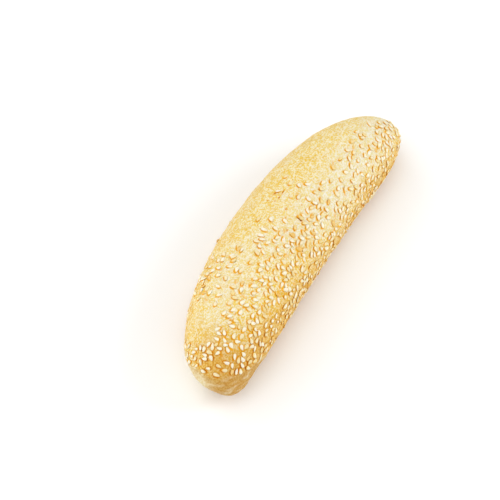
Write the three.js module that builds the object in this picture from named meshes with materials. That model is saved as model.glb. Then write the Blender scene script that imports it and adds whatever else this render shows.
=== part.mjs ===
// Sesame long roll: the body of one soft bread roll, as the loaf that carries the seeds.
// Millimetres. X runs along the roll from the blunt end (-X) to the slimmer end (+X), Z is up,
// and the origin lies on the table under the middle of the roll.
import * as THREE from "three";

// Driving sizes of the baked roll
const LENGTH = 190;
const WIDTH = 51;
const HEIGHT = 42;
const WIDEST_AT = -0.04; // where the roll is widest, from -1 at the blunt end to 1 at the slim end
const SHOULDER_HEIGHT = 18; // the widest level of a section; dome above, side wall below
const END_DROOP = 2.5; // how far that level sinks towards the two ends
const SOLE_DEPTH = 2.5; // how much of the rounded underside the baking tray has flattened

// How far the centre line swings to the -Y side from the middle of the roll to each tip, so that
// the roll bows out to the +Y side. The blunt end bends less, but its nose is pushed over.
const BLUNT_HALF_BEND = 9.9;
const SLIM_HALF_BEND = 12.5;
const NOSE_PUSH = 2.6;
const NOSE_PUSH_POWER = 12;

// How full each end is: a larger run keeps the width longer, a larger blunt rounds the tip less
const BLUNT_END = {
  bowedSide: { run: 2.7, blunt: 2.5 },
  straightSide: { run: 2.7, blunt: 3.0 },
  dome: { run: 3.2, blunt: 2.5 },
  underside: { run: 5.0, blunt: 2.4 },
};
const SLIM_END = {
  bowedSide: { run: 3.0, blunt: 2.45 },
  straightSide: { run: 2.7, blunt: 2.5 },
  dome: { run: 3.1, blunt: 2.3 },
  underside: { run: 4.8, blunt: 2.3 },
};

// How square a section is: 2 is an ellipse
const DOME_SQUARENESS = 2.05;
const WALL_SQUARENESS = 2.6;

// The crease in each side wall, where the risen crust folds over the softer lower wall
const CREASE_DEPTH = 1.3;
const CREASE_SPREAD = THREE.MathUtils.degToRad(4);
const CREASE_REACH = 0.86; // the share of the half length that a crease runs along
const BOWED_SIDE_CREASE = THREE.MathUtils.degToRad(-7.5);
const STRAIGHT_SIDE_CREASE = THREE.MathUtils.degToRad(-165);

// Slow swells of the hand-shaped dough: share of the section, waves along the roll and round it, phase
const SWELLS = [
  { share: 0.012, along: 2.3, round: 1, phase: 0.6 },
  { share: 0.009, along: 4.1, round: 2, phase: 2.1 },
  { share: 0.006, along: 6.7, round: 3, phase: 4.4 },
];

const SECTIONS = 72;
const POINTS_ROUND = 48;

const CRUST_COLOUR = 0xecd08c;
const CRUST_ROUGHNESS = 0.72;

// A rounded taper: 1 where distance is 0, and 0 at the tip, where distance is 1.
function taper(distance, { run, blunt }) {
  return Math.max(0, 1 - distance ** run) ** (1 / blunt);
}

// The rounded-square curve that bends a section's sine or cosine.
function squared(value, squareness) {
  return Math.sign(value) * Math.abs(value) ** (2 / squareness);
}

// The angle between two directions, from 0 to half a turn.
function angleBetween(a, b) {
  return Math.abs(Math.atan2(Math.sin(a - b), Math.cos(a - b)));
}

// How deep the two side creases cut at this place along the roll and round it.
function creaseDepth(along, round) {
  const fade = Math.max(0, 1 - Math.abs(along / CREASE_REACH) ** 6);
  const notch = (crease) =>
    Math.exp(-((angleBetween(round, crease) / CREASE_SPREAD) ** 2));
  const depth = notch(BOWED_SIDE_CREASE) + notch(STRAIGHT_SIDE_CREASE);
  return CREASE_DEPTH * fade * depth;
}

// The local thickening or thinning of the dough, as a factor on the section.
function swell(along, round) {
  return SWELLS.reduce(
    (factor, s) =>
      factor + s.share * Math.sin(s.along * along + s.round * round + s.phase),
    1,
  );
}

// How far the centre line lies off to the +Y side at this place along the roll.
function centreLine(along) {
  const bend = along < 0 ? BLUNT_HALF_BEND : SLIM_HALF_BEND;
  const push = NOSE_PUSH * Math.max(0, -along) ** NOSE_PUSH_POWER;
  return -bend * along ** 2 - push;
}

// The roll's surface. along runs from -1 to 1 between the tips, and round is the angle
// about the roll from the +Y side, over the top.
function surfacePoint(along, round) {
  const end = along < WIDEST_AT ? BLUNT_END : SLIM_END;
  const halfRun = along < WIDEST_AT ? 1 + WIDEST_AT : 1 - WIDEST_AT;
  const distance = Math.abs(along - WIDEST_AT) / halfRun;
  const above = Math.sin(round) >= 0;
  const squareness = above ? DOME_SQUARENESS : WALL_SQUARENESS;

  const across = squared(Math.cos(round), squareness);
  const side = across > 0 ? end.bowedSide : end.straightSide;
  const halfWidth = (WIDTH / 2) * taper(distance, side) * swell(along, round);
  const inward = Math.sign(across) * Math.min(creaseDepth(along, round), halfWidth);

  const shoulder = SHOULDER_HEIGHT - END_DROOP * along ** 4;
  const rise = (HEIGHT - SHOULDER_HEIGHT) * taper(distance, end.dome);
  const drop = (shoulder + SOLE_DEPTH) * taper(distance, end.underside);
  const reach = above ? rise * swell(along, round) : drop;
  const height = shoulder + reach * squared(Math.sin(round), squareness);

  return new THREE.Vector3(
    (LENGTH / 2) * along,
    centreLine(along) + halfWidth * across - inward,
    Math.max(0, height),
  );
}

// A ball whose poles become the roll's two tips, with each of its points moved to the surface.
function loafGeometry() {
  const geometry = new THREE.SphereGeometry(1, POINTS_ROUND, SECTIONS);
  const position = geometry.getAttribute("position");
  for (let i = 0; i < position.count; i++) {
    const along = position.getY(i);
    const round = Math.atan2(position.getX(i), position.getZ(i));
    const point = surfacePoint(along, round);
    position.setXYZ(i, point.x, point.y, point.z);
  }
  geometry.computeBoundingBox();
  const centre = geometry.boundingBox.getCenter(new THREE.Vector3());
  geometry.translate(-centre.x, -centre.y, -geometry.boundingBox.min.z);
  geometry.computeVertexNormals();
  return geometry;
}

function loaf() {
  const crust = new THREE.MeshStandardMaterial({
    color: CRUST_COLOUR,
    roughness: CRUST_ROUGHNESS,
    metalness: 0,
  });
  const mesh = new THREE.Mesh(loafGeometry(), crust);
  mesh.name = "loaf";
  return mesh;
}

const roll = new THREE.Group();
roll.add(loaf());

export default roll;
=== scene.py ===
"""Sesame long roll: its baked crust and its sesame seeds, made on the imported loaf. Metres, Z up.

The roll lies along X, with its blunt end at -X and its slim end at +X. It bows out to +Y.
"""

import math

import bmesh
import bpy
import numpy as np
from mathutils import Matrix, Vector, noise
from mathutils.kdtree import KDTree


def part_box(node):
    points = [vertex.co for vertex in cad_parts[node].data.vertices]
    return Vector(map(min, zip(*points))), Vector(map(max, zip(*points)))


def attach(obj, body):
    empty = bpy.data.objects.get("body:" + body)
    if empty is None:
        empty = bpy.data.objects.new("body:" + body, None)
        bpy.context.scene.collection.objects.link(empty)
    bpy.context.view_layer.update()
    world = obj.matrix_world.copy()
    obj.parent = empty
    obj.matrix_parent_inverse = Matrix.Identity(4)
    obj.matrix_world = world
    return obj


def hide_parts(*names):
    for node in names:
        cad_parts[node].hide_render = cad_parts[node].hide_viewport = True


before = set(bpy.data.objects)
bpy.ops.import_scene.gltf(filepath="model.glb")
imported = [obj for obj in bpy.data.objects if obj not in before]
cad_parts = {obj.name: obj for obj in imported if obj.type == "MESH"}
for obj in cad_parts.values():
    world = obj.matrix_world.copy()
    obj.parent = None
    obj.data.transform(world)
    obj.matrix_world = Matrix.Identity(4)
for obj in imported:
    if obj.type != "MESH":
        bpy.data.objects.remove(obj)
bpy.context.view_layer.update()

MM = 0.001
CM2 = 0.0001
RANDOM_SEED = 27

# The camera, set to the photograph's view of the roll
CAMERA_AZIMUTH = math.radians(-60.3)
CAMERA_ELEVATION = math.radians(54)
CAMERA_DISTANCE = 955 * MM
CAMERA_LENS = 135
CAMERA_SENSOR = 36
AIM_RIGHT = -16.2 * MM
AIM_UP = -7.5 * MM
AIM_HEIGHT = 21 * MM

# The lights: name, direction from the roll, distance, size across, and power in watts
LIGHTS = (
    ("light_right", (0.50, -0.78, 0.60), 1.0, 0.45, 3.4),
    ("light_front", (-0.35, -0.85, 0.40), 1.0, 0.9, 1.1),
    ("light_left", (-0.80, 0.55, 0.45), 1.0, 0.9, 2.5),
    ("light_behind", (0.15, 0.95, 0.60), 1.0, 0.9, 3.0),
    ("light_above", (-0.35, 0.0, 1.0), 1.2, 1.0, 3.9),
)
SKY_STRENGTH = 0.57
FLOOR_HALF_SIZE = 4

# The loaf's own shape, which says where along and round the roll a point lies
LOAF_LOW, LOAF_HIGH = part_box("loaf")
HALF_LENGTH = (LOAF_HIGH.x - LOAF_LOW.x) / 2
MIDDLE_SECTION_Y = 0.7 * MM
BLUNT_HALF_BEND = 9.9 * MM
SLIM_HALF_BEND = 12.5 * MM
NOSE_PUSH = 2.6 * MM
NOSE_PUSH_POWER = 12
SHOULDER_HEIGHT = 18 * MM
END_DROOP = 2.5 * MM
GIRTH_RADIUS = 25 * MM

# The crust's net of small faces
SEAM_GAP = 0.01 * MM
NET_SIZE = 0.61 * MM
SKIN_PER_POINT = 1.12 * NET_SIZE**2
EASING_ROUNDS = 8

# How far each pattern of ripples starts from the one before it
PATTERN_STEP = Vector((7.1, 3.7, 5.3))

# Swells of the dough and its skin: their size across, and how far they stand up
DOUGH_SWELLS = (
    (30 * MM, 0.50 * MM),
    (12 * MM, 0.28 * MM),
    (5 * MM, 0.15 * MM),
    (2.4 * MM, 0.07 * MM),
)

# The crease in each side wall, in degrees round the roll, and where it fades out along it
BOWED_SIDE_CREASE = -9.6
STRAIGHT_SIDE_CREASE = 196.3
CREASE_FADE_START = 0.72
CREASE_FADE_END = 0.90
CREASE_WANDER = 1.8 * MM
LIP_SWELL = 0.6 * MM
GROOVE_DEPTH = 0.9 * MM

# The torn pale strip below each crease
STRIP_WIDTH = 3.9 * MM
STRIP_WANDER = 5.2 * MM
STRIP_JAGS = 1.6 * MM
STRIP_FRAY = 1.0 * MM
SHRED_HEIGHT = 0.7 * MM
STRAND_HEIGHT = 0.4 * MM
HOLE_DEPTH = 0.5 * MM

# The underside: wrinkles round its edge, and pores where it lay on the tray
EDGE_WRINKLES = 1.1 * MM
PORE_DEPTH = 0.35 * MM

# One hulled seed: its size, its net of faces, and how full its drop shape is
SEED_LENGTH = 3.25 * MM
SEED_WIDTH = 1.95 * MM
SEED_THICKNESS = 0.95 * MM
SEED_SIDES = 8
SEED_RINGS = 7
MIDDLE_FULLNESS = 0.74
ROUND_END_GAIN = 0.36
WIDEST_FULLNESS = 0.81
UNDERSIDE_FULLNESS = 0.8

# How the seeds differ from one another, as shares of the size and as radians of lean
PLUMPNESS = 0.99
PLUMPNESS_ON_NOSE = 0.93
PLUMPNESS_SPREAD = 0.06
LENGTH_SPREAD = 0.06
WIDTH_SPREAD = 0.08
THICKNESS_SPREAD = 0.10
TILT_SPREAD = 0.10
ROLL_SPREAD = 0.14
CURVE_SPREAD = 0.07

# How deep a seed's middle lies in the skin
SHALLOWEST = -0.10 * MM
DEEPEST = 0.24 * MM
SHALLOWER_ON_NOSE = 0.06 * MM

# How close seeds lie, how many places are tried for each one, and how many have fallen off
FOOTPRINT_REACH = 0.30
CLOSEST_FOOTPRINTS = 0.73 * SEED_WIDTH
TRIES_PER_SEED = 2.1
FALLEN_SHARE = 0.05

# Where seeds stuck, as along from and to, round from and to in degrees, and seeds a square cm
SEEDED_PATCHES = (
    (-0.72, 1.02, 150, 194, 8.0),
    (-0.86, 0.02, 104, 152, 7.5),
    (-0.72, -0.12, 84, 106, 4.2),
    (-1.02, -0.91, 34, 76, 8.5),
    (-1.02, -0.87, 72, 98, 10.5),
    (-1.02, -0.80, 90, 112, 10.5),
    (-1.02, -0.72, 106, 152, 10.0),
    (-0.97, -0.66, 146, 184, 7.0),
    (-0.70, -0.30, 56, 86, 3.0),
    (-0.62, -0.34, 24, 58, 1.8),
    (-1.00, -0.84, -4, 36, 4.5),
    (0.00, 0.44, 108, 152, 4.2),
    (0.40, 0.66, 100, 152, 1.8),
    (0.62, 1.02, 96, 152, 4.6),
    (-0.16, 0.24, 70, 108, 1.6),
    (-0.90, 0.92, -8, 22, 1.5),
)
PATCH_FADE_ALONG = 0.05
PATCH_FADE_ROUND = 6

# Below this line no seed stuck to the blunt end: along the roll, and the line's height
STRAIGHT_SIDE_LINE_ALONG = (-1.0, -0.93, -0.87, -0.80, -0.68, -0.62, -0.50)
STRAIGHT_SIDE_LINE_HEIGHT = (
    24.3 * MM, 24.8 * MM, 22.4 * MM, 19.5 * MM, 16.5 * MM, 11.5 * MM, 8 * MM
)
BOWED_SIDE_LINE_ALONG = (-1.0, -0.965, -0.93, -0.88, -0.80, -0.70)
BOWED_SIDE_LINE_HEIGHT = (24.5 * MM, 23.3 * MM, 18.3 * MM, 14 * MM, 10 * MM, 6 * MM)

# The skin just under that line: a ledge, then long low streaks where it stretched
NOSE_LEDGE = 0.16 * MM
NOSE_STREAKS = 0.22 * MM

# How far the blunt end's low part leans, against the upper part that rose over it
NOSE_LEAN = Vector((2.2 * MM, -2.0 * MM, 0))

# Seeds up to here count as the blunt end's own: along the roll, and round it in degrees
NOSE_SEEDS_ALONG = -0.72
NOSE_SEEDS_ROUND = 112

# Which way the seeds slid as the dough rose, which opened a hollow on that side of each one
# The painted shadow in the hollow beside each seed, and the painted shade on the seed, go to this
# side as well.
SLIDE = Vector((-0.88, 0.47, 0.35))
SLIDE_ON_NOSE = Vector((0.5, -0.87, 0))
SLIDE_SCATTER = math.radians(28)

# The dents round a seed: its own bed, the hollow beside it, and the raised rim round both
BED_DEPTH = 0.25 * MM
FALLEN_BED_DEPTH = 0.45 * MM
# How dark a fallen seed's empty bed is, against the hollow beside a seed: toasting and a painted
# shadow.
FALLEN_SINGE_AND_SHADOW = 0.6
HOLLOW_DEPTH = 0.35 * MM
HOLLOW_SHIFT = 0.40 * MM
RIM_HEIGHT = 0.09 * MM

# Marks of the baking: along, round in degrees, length, width, turn in degrees, depth, scorch
BAKING_MARKS = (
    (0.01, 113, 2.7 * MM, 0.7 * MM, 80, 0.30 * MM, 1.8),
    (0.01, 117, 1.3 * MM, 1.1 * MM, 60, 0.45 * MM, 1.4),
    (0.09, 70, 2.6 * MM, 0.7 * MM, 27, 0.25 * MM, 1.1),
    (0.11, 78, 3.6 * MM, 0.6 * MM, -7, 0.25 * MM, 1.0),
    (0.07, 78, 1.3 * MM, 0.8 * MM, 0, 0.20 * MM, 1.1),
    (0.03, 67, 1.0 * MM, 0.8 * MM, 0, 0.15 * MM, 0.75),
    (0.04, 76, 1.0 * MM, 0.8 * MM, 0, 0.15 * MM, 0.7),
    (0.02, 94, 1.9 * MM, 1.5 * MM, 151, 0.20 * MM, 0.5),
    (-0.03, 100, 1.9 * MM, 0.8 * MM, 113, 0.20 * MM, 0.5),
    (0.09, 107, 1.2 * MM, 0.9 * MM, 0, 0.15 * MM, 0.5),
    (-0.09, 110, 2.0 * MM, 1.0 * MM, 139, 0.25 * MM, 0.5),
    (-0.88, 58, 2.0 * MM, 1.2 * MM, 30, 0.20 * MM, 0.4),
    (-0.71, 103, 2.2 * MM, 1.4 * MM, 58, 0.25 * MM, 0.45),
    (-0.67, 105, 1.4 * MM, 1.0 * MM, 0, 0.20 * MM, 0.5),
    (0.46, 107, 2.0 * MM, 1.4 * MM, 52, 0.25 * MM, 0.4),
    (0.23, 112, 1.8 * MM, 1.4 * MM, 52, 0.25 * MM, 0.35),
    (0.54, 85, 0.9 * MM, 0.8 * MM, 0, 0.10 * MM, 0.45),
    (0.28, 88, 0.9 * MM, 0.8 * MM, 0, 0.10 * MM, 0.4),
)

# The one pale blister: along, round in degrees, length, width, turn in degrees, height
BLISTER = (0.08, 84, 6.0 * MM, 3.6 * MM, 3, 0.8 * MM)


# ---------------------------------------------------------------- small tools

def ease(value, start, end):
    """0 at start and before it, 1 at end and past it, with a smooth step between."""
    share = np.clip((value - start) / (end - start), 0, 1)
    return share * share * (3 - 2 * share)


def fade(value, start, end):
    """1 at start and before it, 0 at end and past it, with a smooth step between."""
    return 1 - ease(value, start, end)


def hump(value, centre, spread):
    """A smooth hump, 1 high, at the centre."""
    return np.exp(-(((value - centre) / spread) ** 2))


def ripple(points, size, pattern):
    """Smooth unevenness from -1 to 1 at each point, with swells this size across. Each pattern
    number gives another unevenness."""
    start = PATTERN_STEP * pattern
    return np.array([noise.noise(Vector(point) + start) for point in points / size])


def off_centre_line(points):
    """How far each point lies off the roll's centre line, towards the bowed side."""
    along = points[:, 0] / HALF_LENGTH
    bend = np.where(along < 0, BLUNT_HALF_BEND, SLIM_HALF_BEND)
    push = NOSE_PUSH * np.maximum(0, -along) ** NOSE_PUSH_POWER
    return points[:, 1] - MIDDLE_SECTION_Y + bend * along**2 + push


def places(points):
    """How far along the roll points lie, from -1 to 1, and how far round it in degrees:
    0 on the bowed side, 90 on top and 180 on the straight side."""
    along = points[:, 0] / HALF_LENGTH
    centre_z = SHOULDER_HEIGHT - END_DROOP * along**4
    around = np.degrees(np.arctan2(points[:, 2] - centre_z, off_centre_line(points)))
    return along, np.where(around < -90, around + 360, around)


def show(name, mesh):
    """A new object of this mesh in the scene."""
    piece = bpy.data.objects.new(name, mesh)
    bpy.context.scene.collection.objects.link(piece)
    return piece


def settle_modifiers(piece):
    """Makes what the modifiers show the piece's own mesh."""
    shown = piece.evaluated_get(bpy.context.evaluated_depsgraph_get())
    mesh = bpy.data.meshes.new_from_object(shown)
    piece.modifiers.clear()
    piece.data = mesh
    mesh.name = piece.name


def read_points(mesh):
    values = np.empty(len(mesh.vertices) * 3)
    mesh.vertices.foreach_get("co", values)
    return values.reshape(-1, 3)


def read_normals(mesh):
    values = np.empty(len(mesh.vertices) * 3, np.float32)
    mesh.vertex_normals.foreach_get("vector", values)
    return values.reshape(-1, 3).astype(float)


def write_points(mesh, points):
    mesh.vertices.foreach_set("co", points.ravel())
    mesh.update()


def write_tones(mesh, tones):
    """Stores each tone, one number a vertex, which the material reads by the tone's name."""
    for name, values in tones.items():
        tone = mesh.attributes.new(name, "FLOAT", "POINT")
        tone.data.foreach_set("value", np.clip(values, 0, 1).astype(np.float32))


# ---------------------------------------------------------------- camera

def place_camera():
    azimuth, elevation = CAMERA_AZIMUTH, CAMERA_ELEVATION
    back = Vector((
        math.sin(azimuth) * math.cos(elevation),
        -math.cos(azimuth) * math.cos(elevation),
        math.sin(elevation),
    ))
    right = Vector((math.cos(azimuth), math.sin(azimuth), 0))
    up = back.cross(right)
    aim = Vector((0, 0, AIM_HEIGHT)) + right * AIM_RIGHT + up * AIM_UP
    camera = bpy.data.objects.new("camera", bpy.data.cameras.new("camera"))
    camera.data.lens = CAMERA_LENS
    camera.data.sensor_width = CAMERA_SENSOR
    camera.location = aim + back * CAMERA_DISTANCE
    camera.rotation_mode = "QUATERNION"
    camera.rotation_quaternion = (-back).to_track_quat("-Z", "Y")
    bpy.context.scene.collection.objects.link(camera)
    bpy.context.scene.camera = camera


# ---------------------------------------------------------------- crust

def even_skin(loaf):
    """A copy of the loaf, rounded off and covered by an even net of small faces."""
    form = bmesh.new()
    form.from_mesh(loaf.data)
    bmesh.ops.remove_doubles(form, verts=form.verts, dist=SEAM_GAP)
    mesh = bpy.data.meshes.new("crust")
    form.to_mesh(mesh)
    form.free()
    crust = show("crust", mesh)
    rounding = crust.modifiers.new("rounding", "SUBSURF")
    rounding.levels = 2
    rounding.render_levels = 2
    net = crust.modifiers.new("net", "REMESH")
    net.mode = "VOXEL"
    net.voxel_size = NET_SIZE
    easing = crust.modifiers.new("easing", "SMOOTH")
    easing.factor = 0.5
    easing.iterations = EASING_ROUNDS
    settle_modifiers(crust)
    return crust


def below_crease(points, around):
    """How far each point lies below the nearer side crease, over the skin. Negative is above."""
    lengthways = points * (1, 0, 0)
    wander = ripple(lengthways, 13 * MM, 3) + 0.4 * ripple(points, 3.5 * MM, 4)
    per_degree = GIRTH_RADIUS * math.radians(1)
    bowed = (BOWED_SIDE_CREASE - around) * per_degree
    straight = (around - STRAIGHT_SIDE_CREASE) * per_degree
    return np.where(around < 90, bowed, straight) + CREASE_WANDER * wander


def torn_strip(points, along, around):
    """The torn pale strip along each crease: how far below the crease a point lies, how wide the
    strip is there, how much of crease and strip is left towards the ends, and the point's share
    in the strip and in the baked flank under it."""
    below = below_crease(points, around)
    lengthways = points * (1, 0.3, 0)
    width = STRIP_WIDTH + STRIP_WANDER * ripple(lengthways, 17 * MM, 5)
    width += STRIP_JAGS * ripple(lengthways, 6 * MM, 6) + STRIP_FRAY * ripple(points, 3 * MM, 7)
    width = np.maximum(-1 * MM, width)
    reach = fade(np.abs(along), CREASE_FADE_START, CREASE_FADE_END)
    torn = ease(below, 0, 0.9 * MM) * fade(below - width, -0.6 * MM, 0.7 * MM) * reach
    flank = ease(below, width - 0.8 * MM, width + 1.6 * MM) * reach
    under = np.maximum(flank, fade(points[:, 2], 2 * MM, 8 * MM))
    return below, width, reach, torn, under


def tear_walls(points, along, around):
    """How far each point is lifted by the side walls' lips, creases and torn strips. Returns also
    its share in the strips and in the baked underside, and how high the torn fibres stand."""
    below, width, reach, torn, under = torn_strip(points, along, around)
    lift = LIP_SWELL * hump(below, -1.4 * MM, 1.5 * MM) * reach
    lift -= GROOVE_DEPTH * hump(below, 0.5 * MM, 0.7 * MM) * reach
    shreds = ease(ripple(points, 5 * MM, 13), -0.1, 0.4)
    lift += SHRED_HEIGHT * hump(below - width, -0.3 * MM, 0.8 * MM) * shreds * reach
    drawn_out = points * (0.35, 1, 1)
    strands = ripple(drawn_out, 2.1 * MM, 11) + 0.5 * ripple(drawn_out, 1.2 * MM, 12)
    holes = ease(ripple(points, 3 * MM, 19), 0.3, 0.6)
    lift += (STRAND_HEIGHT * strands - HOLE_DEPTH * holes) * torn
    return lift, torn, under, ease(strands, -0.5, 0.6)


def above_seed_line(points, along):
    """How far each point stands above the line on the blunt end that the seeds reach down to."""
    straight = np.interp(along, STRAIGHT_SIDE_LINE_ALONG, STRAIGHT_SIDE_LINE_HEIGHT)
    bowed = np.interp(along, BOWED_SIDE_LINE_ALONG, BOWED_SIDE_LINE_HEIGHT)
    bowed_share = ease(off_centre_line(points), -1 * MM, 13 * MM)
    line = bowed * bowed_share + straight * (1 - bowed_share)
    return points[:, 2] - line + 0.8 * MM * ripple(points, 5 * MM, 23)


def nose_streaks(points, above):
    """Long low streaks, from -1 to 1, beside the seeds' line on the blunt end's stretched skin."""
    flat = np.column_stack([points[:, 0], points[:, 1], above * 4])
    return ripple(flat, 5 * MM, 14)


def shape_nose(points, along):
    """How far the ledge and the streaks under the seeds' line lift the blunt end's skin."""
    above = above_seed_line(points, along)
    ledge = hump(above, 0.9 * MM, 1.4 * MM) - hump(above, -1.0 * MM, 1.0 * MM)
    streaks = nose_streaks(points, above) * fade(above, -1.5 * MM, 0)
    return (NOSE_LEDGE * ledge + NOSE_STREAKS * streaks) * fade(along, -0.80, -0.60)


def raise_dough(points, normals):
    """Moves the smooth skin to the uneven one. Returns the new points, each point's share in the
    torn strips and in the baked underside, and how high the torn fibres stand there."""
    along, around = places(points)
    lift, torn, under, strands = tear_walls(points, along, around)
    lift += shape_nose(points, along)
    for pattern, (size, height) in enumerate(DOUGH_SWELLS, start=1):
        lift += height * ripple(points, size, pattern)
    edge = hump(points[:, 2], 1.2 * MM, 1.8 * MM)
    lift += EDGE_WRINKLES * ripple(points, 2.6 * MM, 29) * edge

    moved = points + normals * lift[:, None]
    low_on_nose = fade(along, -0.93, -0.72) * fade(points[:, 2], 9 * MM, 19 * MM)
    moved += low_on_nose[:, None] * np.array(NOSE_LEAN)
    sole = fade(points[:, 2], 0.2 * MM, 1.2 * MM)
    pores = PORE_DEPTH * np.maximum(0, ripple(points, 4 * MM, 17) - 0.15)
    moved[:, 2] = np.maximum(0, moved[:, 2] * (1 - sole) + pores * sole)
    return moved, torn, under, strands


# ---------------------------------------------------------------- seeds

def seeds_wanted(points, along, around):
    """How many seeds a square metre stuck at each point."""
    wanted = np.zeros(len(points))
    for from_along, to_along, from_round, to_round, count in SEEDED_PATCHES:
        share = ease(along, from_along - PATCH_FADE_ALONG, from_along + PATCH_FADE_ALONG)
        share *= fade(along, to_along - PATCH_FADE_ALONG, to_along + PATCH_FADE_ALONG)
        share *= ease(around, from_round - PATCH_FADE_ROUND, from_round + PATCH_FADE_ROUND)
        share *= fade(around, to_round - PATCH_FADE_ROUND, to_round + PATCH_FADE_ROUND)
        wanted = np.maximum(wanted, share * count / CM2)
    wanted *= ease(above_seed_line(points, along), -0.3 * MM, 0.7 * MM)
    clumps = 1 + 0.5 * ripple(points, 9 * MM, 21)
    return wanted * clumps


class Seed:
    """One seed, or the bed of one that fell off: its place on the skin, its turn and its size."""

    def __init__(self, place, outward, on_nose, flank_shade, chance):
        self.place = place
        self.outward = outward
        drift = SLIDE_ON_NOSE if on_nose else SLIDE
        drift = Matrix.Rotation(chance.normal(0, SLIDE_SCATTER), 3, outward) @ drift
        self.slide = (drift - outward * drift.dot(outward)).normalized()
        turn = chance.uniform(0, 2 * math.pi)
        side = outward.orthogonal().normalized()
        self.length_axis = (Matrix.Rotation(turn, 3, outward) @ side).normalized()
        self.width_axis = outward.cross(self.length_axis).normalized()
        plump = chance.normal(PLUMPNESS_ON_NOSE if on_nose else PLUMPNESS, PLUMPNESS_SPREAD)
        self.length = SEED_LENGTH * plump * chance.normal(1, LENGTH_SPREAD)
        self.width = SEED_WIDTH * plump * chance.normal(1, WIDTH_SPREAD)
        self.thickness = SEED_THICKNESS * plump * chance.normal(1, THICKNESS_SPREAD)
        # Each seed's own roast, with painted shade added low on the straight flank.
        self.roast_and_shade = chance.beta(0.9, 3.6) * (0.6 if on_nose else 1) + 0.2 * flank_shade
        self.fallen = chance.random() < FALLEN_SHARE
        self.sunk = chance.uniform(SHALLOWEST, DEEPEST) - SHALLOWER_ON_NOSE * on_nose
        self.tilt = chance.normal(0, TILT_SPREAD)
        self.roll = chance.normal(0, ROLL_SPREAD)
        self.curve = chance.normal(0, CURVE_SPREAD)

    def footprints(self):
        """Three spots along the seed, which keep clear of every other seed's spots."""
        reach = self.length_axis * self.length * FOOTPRINT_REACH
        return [self.place - reach, self.place, self.place + reach]

    def outlines_off(self, offset):
        """How far each offset is from the seed's middle: 1 on its outline, seen from above."""
        lengthways = offset @ np.array(self.length_axis) / (self.length / 2)
        sideways = offset @ np.array(self.width_axis) / (self.width / 2)
        return np.hypot(lengthways, sideways)

    def towards_slide(self, offset):
        """How far each offset lies to the side that the seed slid to, in half its widths."""
        return offset @ np.array(self.slide) / (self.width / 2)


def scatter_seeds(points, normals, along, around):
    """The seeds that stuck, chosen point by point until each patch has what it wants."""
    chance = np.random.default_rng(RANDOM_SEED)
    likely = seeds_wanted(points, along, around) * SKIN_PER_POINT * TRIES_PER_SEED
    candidates = np.flatnonzero(chance.random(len(points)) < likely)
    on_nose = (along < NOSE_SEEDS_ALONG) & (around < NOSE_SEEDS_ROUND)
    # Low on the straight flank the seeds get a painted shade.
    flank_shade = ease(around, 150, 185)
    seeds = []
    taken = np.empty((0, 3))
    for index in chance.permutation(candidates):
        place, outward = Vector(points[index]), Vector(normals[index])
        seed = Seed(place, outward, on_nose[index], flank_shade[index], chance)
        spots = np.array([list(spot) for spot in seed.footprints()])
        gaps = np.linalg.norm(taken[None] - spots[:, None], axis=2)
        if gaps.size and gaps.min() < CLOSEST_FOOTPRINTS:
            continue
        taken = np.vstack([taken, spots])
        seeds.append(seed)
    return seeds


def press_seeds(points, normals, seeds):
    """Dents the skin under and beside each seed. Returns the points and how dark each is in the
    hollow beside its seed: partly the crust's toasting there, partly a painted shadow.
    """
    tree = KDTree(len(points))
    for index, point in enumerate(points):
        tree.insert(point, index)
    tree.balance()
    depth = np.zeros(len(points))
    rims = np.zeros(len(points))
    singe_and_shadow = np.zeros(len(points))
    for seed in seeds:
        found = [index for _, index, _ in tree.find_range(seed.place, seed.length)]
        offset = points[found] - np.array(seed.place)
        far = seed.outlines_off(offset)
        beside = seed.outlines_off(offset - np.array(seed.slide) * HOLLOW_SHIFT)
        bed = (FALLEN_BED_DEPTH if seed.fallen else BED_DEPTH) * fade(far, 0.75, 1.15)
        hollow = HOLLOW_DEPTH * fade(beside, 0.95, 1.36)
        depth[found] = np.maximum(depth[found], np.maximum(bed, hollow))
        rims[found] = np.maximum(rims[found], hump(far, 1.7, 0.4))
        # The hollow beside the seed darkens on the side it slid to: partly toasting of the crust,
        # partly a painted shadow.
        one_sided = 0.06 + 0.94 * ease(seed.towards_slide(offset), -0.2, 0.9)
        ring = fade(beside, 1.02, 1.33) * one_sided * (FALLEN_SINGE_AND_SHADOW if seed.fallen else 1)
        singe_and_shadow[found] = np.maximum(singe_and_shadow[found], ring)
    lift = RIM_HEIGHT * rims * fade(depth, 0, 0.1 * MM) - depth
    return points + normals * lift[:, None], singe_and_shadow


def seed_form():
    """The corners and faces of one seed: a drop of unit half size, pointed at -X and fullest
    towards +X, with a flatter underside."""
    form = bmesh.new()
    bmesh.ops.create_uvsphere(form, u_segments=SEED_SIDES, v_segments=SEED_RINGS, radius=1)
    lay_down = Matrix.Rotation(math.radians(90), 3, "Y")
    bmesh.ops.rotate(form, verts=form.verts, cent=(0, 0, 0), matrix=lay_down)
    for corner in form.verts:
        fullness = (MIDDLE_FULLNESS + ROUND_END_GAIN * corner.co.x) / WIDEST_FULLNESS
        corner.co.y *= fullness
        corner.co.z *= fullness if corner.co.z > 0 else fullness * UNDERSIDE_FULLNESS
    bmesh.ops.recalc_face_normals(form, faces=form.faces)
    form.verts.index_update()
    corners = np.array([list(corner.co) for corner in form.verts])
    faces = [[corner.index for corner in face.verts] for face in form.faces]
    form.free()
    return corners, faces


def shape_seed(seed, corners):
    """The unit seed's corners made to this seed's size, curve, turn and lean, from its middle."""
    shape = corners * (seed.length / 2, seed.width / 2, seed.thickness / 2)
    shape[:, 1] += seed.curve * seed.width * corners[:, 0] ** 2
    lean = Matrix.Rotation(seed.tilt, 3, seed.width_axis)
    lean = Matrix.Rotation(seed.roll, 3, seed.length_axis) @ lean
    axes = np.array(lean) @ np.array([seed.length_axis, seed.width_axis, seed.outward]).T
    return shape @ axes.T


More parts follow.
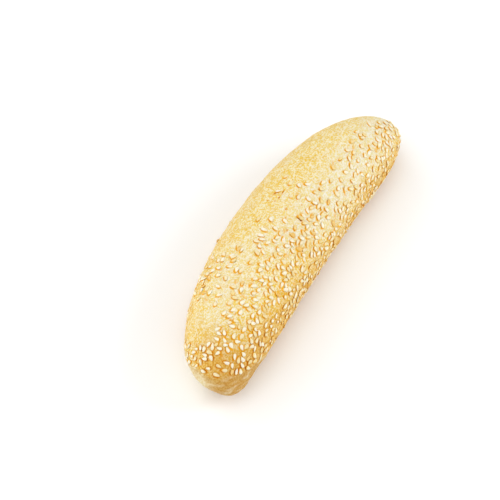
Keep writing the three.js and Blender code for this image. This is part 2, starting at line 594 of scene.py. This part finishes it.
def make_seeds(seeds):
    """All the seeds that stayed on, as one joined mesh."""
    corners, faces = seed_form()
    kept = [seed for seed in seeds if not seed.fallen]
    all_corners, all_faces, seed_shades = [], [], []
    for number, seed in enumerate(kept):
        offset = shape_seed(seed, corners)
        all_corners.append(offset + np.array(seed.place - seed.outward * seed.sunk))
        first = number * len(corners)
        all_faces += [[first + index for index in face] for face in faces]
        height = offset @ np.array(seed.outward) / (seed.thickness / 2)
        # Painted shade on each seed: golden on its low part and on the side it slid to.
        seed_shades.append(ease(seed.towards_slide(offset) * 0.7 - height, -1.0, 1.2))
    mesh = bpy.data.meshes.new("sesame_seeds")
    mesh.from_pydata(np.concatenate(all_corners), [], all_faces)
    mesh.shade_smooth()
    write_tones(mesh, {
        "roast_and_shade": np.repeat([seed.roast_and_shade for seed in kept], len(corners)),
        "tip": np.tile(fade(corners[:, 0], -1.0, -0.45), len(kept)),
        # The painted shade on each seed.
        "seed_shade": np.concatenate(seed_shades),
    })
    return show("sesame_seeds", mesh)


# ---------------------------------------------------------------- marks of the baking

def nearness(along, around, at_along, at_round, length, width, turn):
    """1 at the middle of an oval spot on the skin, falling smoothly to 0 round it."""
    lengthways = (along - at_along) * HALF_LENGTH
    crossways = (around - at_round) * GIRTH_RADIUS * math.radians(1)
    cosine, sine = math.cos(math.radians(turn)), math.sin(math.radians(turn))
    along_spot = (lengthways * cosine + crossways * sine) / (length / 2)
    across_spot = (crossways * cosine - lengthways * sine) / (width / 2)
    return hump(np.hypot(along_spot, across_spot), 0, 1)


def mark_skin(points, normals, along, around):
    """Adds the baking's small marks, the blister, and dark patches round the underside's edge:
    burnt crumb with a painted contact shadow.
    Returns the points, and each one's scorch and blister."""
    *spot, height = BLISTER
    blister = nearness(along, around, *spot)
    lift = height * blister
    scorch_and_rim_shade = np.zeros(len(points))
    for *spot, depth, scorch in BAKING_MARKS:
        near = nearness(along, around, *spot)
        lift -= depth * near
        scorch_and_rim_shade = np.maximum(scorch_and_rim_shade, scorch * near)
    # Dark patches round the underside's edge: partly burnt crumb, partly a painted contact shadow.
    sole_edge = fade(points[:, 2], 0.8 * MM, 2.4 * MM) * ease(points[:, 2], 0, 0.5 * MM)
    rim_crumbs_and_shade = 0.5 * ease(ripple(points, 2.4 * MM, 53), 0.0, 0.4)
    scorch_and_rim_shade = np.maximum(scorch_and_rim_shade, rim_crumbs_and_shade * sole_edge)
    return points + normals * lift[:, None], scorch_and_rim_shade, blister


# ---------------------------------------------------------------- how brown the crust is

def cream_and_highlight_patch(points, along, around):
    """How pale and cream the crust is: a long patch down the top and the straight shoulder, partly
    the crust's own paler bake and partly a painted highlight of the light from above.
    """
    centre = np.interp(along, (-0.8, -0.3, -0.1, 0.3, 0.6, 0.9), (78, 86, 122, 130, 125, 104))
    spread = np.interp(along, (-0.8, -0.4, 0.1, 0.6, 0.9), (22, 36, 33, 33, 42))
    strength = np.interp(along, (-0.95, -0.75, -0.3, 0.1, 0.95), (0.1, 0.55, 0.55, 1.0, 0.95))
    patch = strength * hump(around, centre, spread)
    return patch + 0.22 * ripple(points, 14 * MM, 31) + 0.24 * ripple(points, 5 * MM, 32)


def browning_and_shade(points, along, around):
    """How golden brown the crust is: most on the blunt end and low on the straight flank, where it
    is partly the crust's own bake and partly painted shade.
    """
    nose = fade(along, -0.93, -0.74) * ease(around, 20, 80)
    flank_start = np.interp(along, (-0.9, -0.6, 0.0), (104, 118, 144))
    flank = ease(around, flank_start, flank_start + 50)
    bowed = 0.45 * fade(around, 10, 65)
    patch = np.maximum(np.maximum(nose, flank), bowed)
    return patch + 0.16 * ripple(points, 11 * MM, 41) + 0.24 * ripple(points, 4 * MM, 42)


def darker_blunt_end(points, along, around):
    """How much darker the colour is on the blunt end, over its top and straight side."""
    deep = fade(along, -0.88, -0.60) * ease(around, 72, 140)
    return deep * (0.36 + 0.18 * ripple(points, 6 * MM, 43))


def nose_band(points, above, along):
    """How much a point belongs to the stretched seedless band under the blunt end's seeds."""
    band = fade(above, -1.8 * MM, 0.6 * MM) * fade(along, -0.74, -0.60)
    return band * ease(points[:, 2] + 2 * MM * ripple(points, 6 * MM, 47), 0.5 * MM, 4 * MM)


def band_streaks_and_painted_light(points, above):
    """How pale that band is: in its streaks, and all over on the bowed side, where the paleness is
    painted light.
    """
    streaks = 0.75 * ease(nose_streaks(points, above), 0.0, 0.45)
    # The bowed side of the band is painted lighter, as the light falls on it.
    bowed = ease(off_centre_line(points), -7 * MM, 5 * MM) * fade(above, -4 * MM, 0)
    return np.maximum(streaks, bowed * (0.95 + 0.4 * ripple(points, 6 * MM, 61)))


# ---------------------------------------------------------------- colours

def painted(red, green, blue):
    """The linear colour of a painter's red, green and blue from 0 to 255."""
    def linear(part):
        part = part / 255
        return part / 12.92 if part <= 0.04045 else ((part + 0.055) / 1.055) ** 2.4
    return (linear(red), linear(green), linear(blue), 1.0)


# Skins of the crust: between the freckles, and in them
YELLOW_SKIN = (painted(234, 224, 186), painted(227, 188, 54))
# Cream crust, which also paints the highlight along the top.
CREAM_AND_HIGHLIGHT_SKIN = (painted(231, 226, 210), painted(227, 210, 146))
GOLDEN_SKIN = (painted(228, 186, 88), painted(206, 144, 28))
UNDER_SKIN = (painted(214, 172, 98), painted(196, 144, 66))
BAND_SKIN = (painted(212, 176, 98), painted(190, 140, 56))
# Pale streaks of the band, and the painted light on its bowed side.
PALE_STREAK_AND_PAINTED_LIGHT_SKIN = (painted(238, 228, 194), painted(226, 204, 148))

# What lies over the skins. Of two colours, the second is for the most baked or highest places
PITS = painted(226, 176, 40)
UNDER_BLOTCHES = painted(200, 146, 66)
BLUNT_END_DARK = painted(186, 128, 46)
# The hollow beside each seed: toasting of the crust with a painted shadow.
SINGE_AND_SHADOW = (painted(235, 170, 30), painted(204, 124, 18))
# Scorch of the baking marks, and the painted contact shadow round the underside's edge.
SCORCH_AND_RIM_SHADE = (painted(216, 142, 28), painted(104, 38, 6))
CRUMB = (painted(218, 192, 132), painted(238, 230, 202))

# The seeds
IVORY = (painted(240, 235, 220), painted(236, 226, 196))
# Roasted seeds; also the painted shade of the seeds low on the straight flank.
LIGHT_ROAST_AND_SHADE = painted(230, 208, 146)
DARK_ROAST_AND_SHADE = painted(228, 178, 84)
SEED_TIP = painted(230, 196, 118)
# Painted shade on the seeds' low part and slid side: the lighter one, then the deepest.
SEED_SHADE = painted(240, 212, 128)
SEED_DEEP_SHADE = painted(232, 164, 34)

FLOOR_HAZE = (painted(247, 247, 246), painted(250, 250, 249))


# ---------------------------------------------------------------- materials

def add_node(tree, kind, inputs=(), **settings):
    """Adds a node, sets it, and fills its inputs with values or with other nodes' outputs."""
    made = tree.nodes.new(kind)
    for name, value in settings.items():
        setattr(made, name, value)
    for name, value in dict(inputs).items():
        if isinstance(value, bpy.types.NodeSocket):
            tree.links.new(value, made.inputs[name])
        else:
            made.inputs[name].default_value = value
    return made


def tone_of(tree, name):
    """The number that is stored at each vertex under this name."""
    return add_node(tree, "ShaderNodeAttribute", attribute_name=name).outputs["Fac"]


def grain(tree, size, detail=2.0, roughness=0.5, distortion=0.0):
    """Fine procedural unevenness, from 0 to 1, with grains of this size on the piece."""
    coordinates = add_node(tree, "ShaderNodeTexCoord").outputs["Object"]
    inputs = {
        "Vector": coordinates,
        "Scale": 1 / size,
        "Detail": detail,
        "Roughness": roughness,
        "Distortion": distortion,
    }
    return add_node(tree, "ShaderNodeTexNoise", inputs).outputs["Fac"]


def stretch(tree, value, low, high, new_low=0.0, new_high=1.0):
    """Spreads the values between low and high over the new range."""
    inputs = {
        "Value": value,
        "From Min": low,
        "From Max": high,
        "To Min": new_low,
        "To Max": new_high,
    }
    return add_node(tree, "ShaderNodeMapRange", inputs).outputs["Result"]


def calculate(tree, operation, first, second):
    """The outcome of a sum, kept between 0 and 1."""
    inputs = {0: first, 1: second}
    settings = {"operation": operation, "use_clamp": True}
    return add_node(tree, "ShaderNodeMath", inputs, **settings).outputs[0]


def mix_colours(tree, share, first, second):
    """The first colour where the share is 0, turning into the second where it is 1."""
    inputs = {0: share, 6: first, 7: second}
    return add_node(tree, "ShaderNodeMix", inputs, data_type="RGBA").outputs[2]


def raised(tree, height, distance, under=None):
    """A bump of this height, on top of another bump."""
    inputs = {"Height": height, "Distance": distance, "Strength": 1.0}
    if under is not None:
        inputs["Normal"] = under
    return add_node(tree, "ShaderNodeBump", inputs).outputs["Normal"]


def new_material(name, **constants):
    """A material with its shader, whose even values are set on the shader's own sockets."""
    material = bpy.data.materials.new(name)
    material.use_nodes = True
    shader = material.node_tree.nodes["Principled BSDF"]
    for socket, value in constants.items():
        shader.inputs[socket.replace("_", " ")].default_value = value
    return material, material.node_tree, shader


def crust_colour(tree, tone, freckles):
    """The crust's colour: the pale skin, with each darker or torn part laid over it in turn."""
    blotches = stretch(tree, grain(tree, 7 * MM), 0.35, 0.65)
    pits = stretch(tree, grain(tree, 2.3 * MM, 1.0, 0.4), 0.62, 0.72, 0, 0.7)
    yellow = mix_colours(tree, freckles, *YELLOW_SKIN)
    yellow = mix_colours(tree, pits, yellow, PITS)
    # Cream crust along the top, partly a painted highlight.
    cream = mix_colours(tree, freckles, *CREAM_AND_HIGHLIGHT_SKIN)
    colour = mix_colours(tree, tone["cream_and_highlight"], yellow, cream)

    # Golden brown crust, low on the straight flank partly painted shade.
    golden = mix_colours(tree, freckles, *GOLDEN_SKIN)
    uneven = stretch(tree, blotches, 0, 1, 0.7, 1.0)
    golden_share = calculate(tree, "MULTIPLY", tone["browned_and_shade"], uneven)
    colour = mix_colours(tree, golden_share, colour, golden)

    underside = mix_colours(tree, freckles, *UNDER_SKIN)
    underside = mix_colours(tree, blotches, underside, UNDER_BLOTCHES)
    colour = mix_colours(tree, tone["under"], colour, underside)

    band = mix_colours(tree, freckles, *BAND_SKIN)
    # Pale streaks, and painted light on the band's bowed side.
    streak_and_painted_light_band = mix_colours(tree, freckles, *PALE_STREAK_AND_PAINTED_LIGHT_SKIN)
    band = mix_colours(tree, tone["streaks_and_painted_light"], band, streak_and_painted_light_band)
    colour = mix_colours(tree, tone["band"], colour, band)
    colour = mix_colours(tree, tone["deep"], colour, BLUNT_END_DARK)

    # Toasting with a painted shadow in the hollow beside each seed.
    singe_and_shadow_colour = mix_colours(tree, stretch(tree, tone["browned_and_shade"], 0.4, 1.0), *SINGE_AND_SHADOW)
    colour = mix_colours(tree, tone["singe_and_shadow"], colour, singe_and_shadow_colour)
    # Scorch of the baking marks, and the painted contact shadow round the underside's edge.
    scorch = mix_colours(tree, stretch(tree, tone["scorch_and_rim_shade"], 0.5, 1.0), *SCORCH_AND_RIM_SHADE)
    colour = mix_colours(tree, stretch(tree, tone["scorch_and_rim_shade"], 0.08, 0.45), colour, scorch)
    crumb = mix_colours(tree, tone["strands"], *CRUMB)
    return mix_colours(tree, tone["torn"], colour, crumb)


def crust_material(tone_names):
    material, tree, shader = new_material(
        "baked_crust",
        Subsurface_Weight=0.05,
        Subsurface_Radius=(0.8, 0.6, 0.3),
        Subsurface_Scale=1.0 * MM,
    )
    tone = {name: tone_of(tree, name) for name in tone_names}
    fine = grain(tree, 0.85 * MM, distortion=0.2)
    coarse = grain(tree, 2.6 * MM, distortion=0.3)
    both = add_node(tree, "ShaderNodeMix", {0: 0.25, 2: fine, 3: coarse}).outputs[0]
    freckles = stretch(tree, both, 0.42, 0.58)
    tree.links.new(crust_colour(tree, tone, freckles), shader.inputs["Base Color"])

    dulled = calculate(tree, "MAXIMUM", tone["singe_and_shadow"], tone["scorch_and_rim_shade"])
    sheen = stretch(tree, dulled, 0, 0.7, 0.22, 0.04)
    tree.links.new(sheen, shader.inputs["Specular IOR Level"])
    satin = stretch(tree, grain(tree, 2.5 * MM), 0.3, 0.7, 0.46, 0.64)
    matte = calculate(tree, "MULTIPLY", tone["torn"], 0.35)
    tree.links.new(calculate(tree, "ADD", satin, matte), shader.inputs["Roughness"])

    skin = raised(tree, freckles, 0.10 * MM)
    skin = raised(tree, grain(tree, 0.6 * MM, 3.0, 0.6), 0.06 * MM, under=skin)
    crumb_height = calculate(tree, "MULTIPLY", grain(tree, 1.1 * MM, 4.0, 0.65), tone["torn"])
    skin = raised(tree, crumb_height, 0.45 * MM, under=skin)
    tree.links.new(skin, shader.inputs["Normal"])
    return material


def seed_material():
    material, tree, shader = new_material(
        "hulled_sesame",
        Subsurface_Weight=0.25,
        Subsurface_Radius=(1.0, 0.75, 0.4),
        Subsurface_Scale=0.7 * MM,
        Roughness=0.42,
        Specular_IOR_Level=0.4,
    )
    roast_and_shade = tone_of(tree, "roast_and_shade")
    tip = tone_of(tree, "tip")
    seed_shade = tone_of(tree, "seed_shade")
    colour = mix_colours(tree, grain(tree, 1.2 * MM), *IVORY)
    # The seed's own roast, and painted shade low on the straight flank.
    colour = mix_colours(tree, stretch(tree, roast_and_shade, 0.05, 0.45), colour, LIGHT_ROAST_AND_SHADE)
    colour = mix_colours(tree, stretch(tree, roast_and_shade, 0.45, 0.7), colour, DARK_ROAST_AND_SHADE)
    colour = mix_colours(tree, calculate(tree, "MULTIPLY", tip, 0.35), colour, SEED_TIP)
    # Painted shade on the seed's low part and on the side it slid to.
    colour = mix_colours(tree, stretch(tree, seed_shade, 0.25, 0.75), colour, SEED_SHADE)
    colour = mix_colours(tree, stretch(tree, seed_shade, 0.72, 1.0), colour, SEED_DEEP_SHADE)
    tree.links.new(colour, shader.inputs["Base Color"])
    husk = raised(tree, grain(tree, 0.35 * MM), 0.03 * MM)
    tree.links.new(husk, shader.inputs["Normal"])
    return material


def floor_material():
    material, tree, shader = new_material("pale_floor", Roughness=0.9)
    haze = mix_colours(tree, grain(tree, 400 * MM), *FLOOR_HAZE)
    tree.links.new(haze, shader.inputs["Base Color"])
    return material


# ---------------------------------------------------------------- floor and light

def lay_floor():
    form = bmesh.new()
    bmesh.ops.create_grid(form, x_segments=1, y_segments=1, size=FLOOR_HALF_SIZE)
    mesh = bpy.data.meshes.new("floor")
    form.to_mesh(mesh)
    form.free()
    floor = show("floor", mesh)
    mesh.materials.append(floor_material())


def hang_light(name, direction, distance, size, power):
    """A soft square light, turned to the roll."""
    away = Vector(direction).normalized()
    light = bpy.data.lights.new(name, "AREA")
    light.size = size
    light.energy = power
    lamp = bpy.data.objects.new(name, light)
    lamp.location = Vector((0, 0, SHOULDER_HEIGHT)) + away * distance
    lamp.rotation_mode = "QUATERNION"
    lamp.rotation_quaternion = away.to_track_quat("Z", "Y")
    bpy.context.scene.collection.objects.link(lamp)


def light_studio():
    for light in LIGHTS:
        hang_light(*light)
    world = bpy.data.worlds.new("studio")
    world.use_nodes = True
    sky = world.node_tree.nodes["Background"]
    sky.inputs["Color"].default_value = (1, 1, 1, 1)
    sky.inputs["Strength"].default_value = SKY_STRENGTH
    bpy.context.scene.world = world
    bpy.context.scene.view_settings.view_transform = "Standard"


# ---------------------------------------------------------------- the roll

def make_roll():
    crust = even_skin(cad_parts["loaf"])
    mesh = crust.data
    points, torn, under, strands = raise_dough(read_points(mesh), read_normals(mesh))
    write_points(mesh, points)
    normals = read_normals(mesh)
    along, around = places(points)
    seeds = scatter_seeds(points, normals, along, around)
    pressed, singe_and_shadow = press_seeds(points, normals, seeds)
    pressed, scorch_and_rim_shade, blister = mark_skin(pressed, normals, along, around)
    pressed[:, 2] = np.maximum(pressed[:, 2], 0)
    write_points(mesh, pressed)
    mesh.shade_smooth()

    above = above_seed_line(points, along)
    tones = {
        # Cream crust and the pale blister, partly a painted highlight along the top.
        "cream_and_highlight": np.maximum(cream_and_highlight_patch(points, along, around), blister),
        # Golden brown, partly painted shade low on the straight flank.
        "browned_and_shade": browning_and_shade(points, along, around),
        "deep": darker_blunt_end(points, along, around),
        # Toasting and a painted shadow beside each seed, but not on the torn strips.
        "singe_and_shadow": singe_and_shadow * (1 - torn),
        # Scorch of the baking marks, and a painted contact shadow round the underside's edge.
        "scorch_and_rim_shade": scorch_and_rim_shade,
        "torn": torn,
        "under": under,
        "strands": strands,
        "band": nose_band(points, above, along),
        # Pale streaks of the band, and painted light on its bowed side.
        "streaks_and_painted_light": band_streaks_and_painted_light(points, above),
    }
    write_tones(mesh, tones)
    mesh.materials.clear()
    mesh.materials.append(crust_material(tones))
    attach(crust, "root")
    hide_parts("loaf")

    sesame = make_seeds(seeds)
    sesame.data.materials.append(seed_material())
    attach(sesame, "root")


place_camera()
make_roll()
lay_floor()
light_studio()
